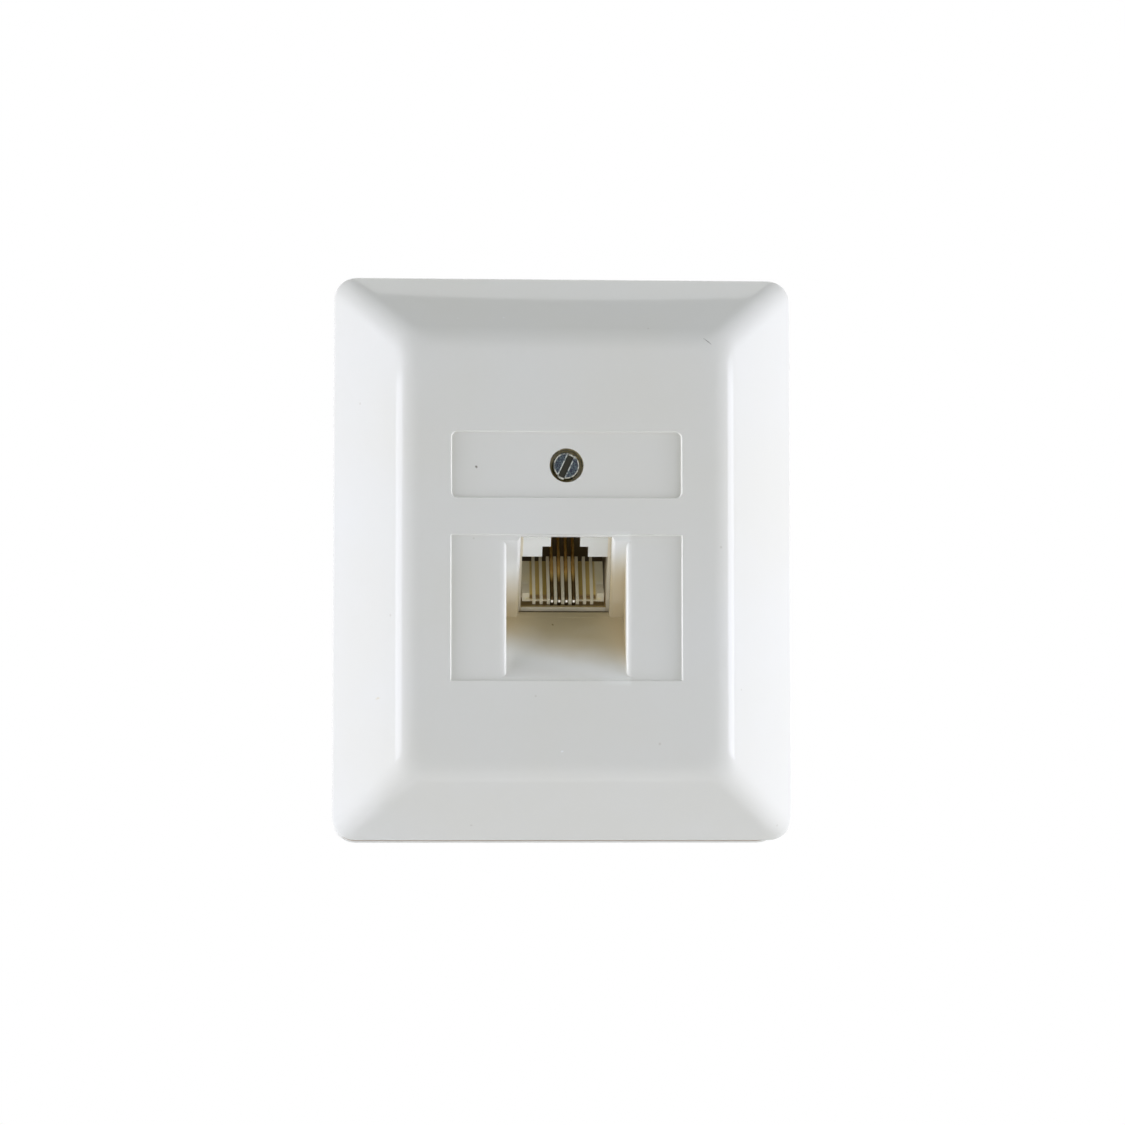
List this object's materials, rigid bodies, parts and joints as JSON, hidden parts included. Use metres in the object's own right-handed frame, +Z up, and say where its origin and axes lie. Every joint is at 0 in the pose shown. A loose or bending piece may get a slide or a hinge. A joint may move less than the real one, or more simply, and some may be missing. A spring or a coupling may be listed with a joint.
{
  "type": "ethernet wall socket",
  "caption": "Surface-mounted ethernet wall socket: rectangular white cover with sloping border, label recess with screw, and a V-shaped notch with a tilted modular jack.",
  "frame": {"origin": "centre of the flat back of the base plate, on the wall", "axes": "+X to the right seen from the front, +Y into the wall (the face looks along -Y), +Z up"},
  "size_m": [0.0644, 0.026, 0.0798],
  "materials": {
    "white_plastic": "glossy moulded white",
    "cream_plastic": "moulded, slightly creamy",
    "grey_plastic": "moulded grey",
    "board_laminate": "green laminate",
    "gold_plating": "gold plated spring wire",
    "blued_steel": "bluish passivated steel",
    "zinc_plating": "zinc plated",
    "brass": "plain turned brass"
  },
  "bodies": {
    "root": {"base_plate": "white_plastic", "bracket_screw_1": "zinc_plating", "bracket_screw_2": "zinc_plating", "cable_clamp": "white_plastic", "cable_clamp_screw_1": "zinc_plating", "cable_clamp_screw_2": "zinc_plating", "circuit_board": "board_laminate", "contact_3": "gold_plating", "contact_4": "gold_plating", "contact_5": "gold_plating", "contact_6": "gold_plating", "contact_carrier": "cream_plastic", "cover": "white_plastic", "cover_nut": "brass", "cover_screw": "blued_steel", "jack_bracket": "white_plastic", "jack_housing": "white_plastic", "terminal_block": "grey_plastic", "terminal_clamp_1": "zinc_plating", "terminal_clamp_2": "zinc_plating", "terminal_clamp_3": "zinc_plating", "terminal_clamp_4": "zinc_plating", "terminal_screw_1": "zinc_plating", "terminal_screw_2": "zinc_plating", "terminal_screw_3": "zinc_plating", "terminal_screw_4": "zinc_plating"}
  },
  "joints": []
}
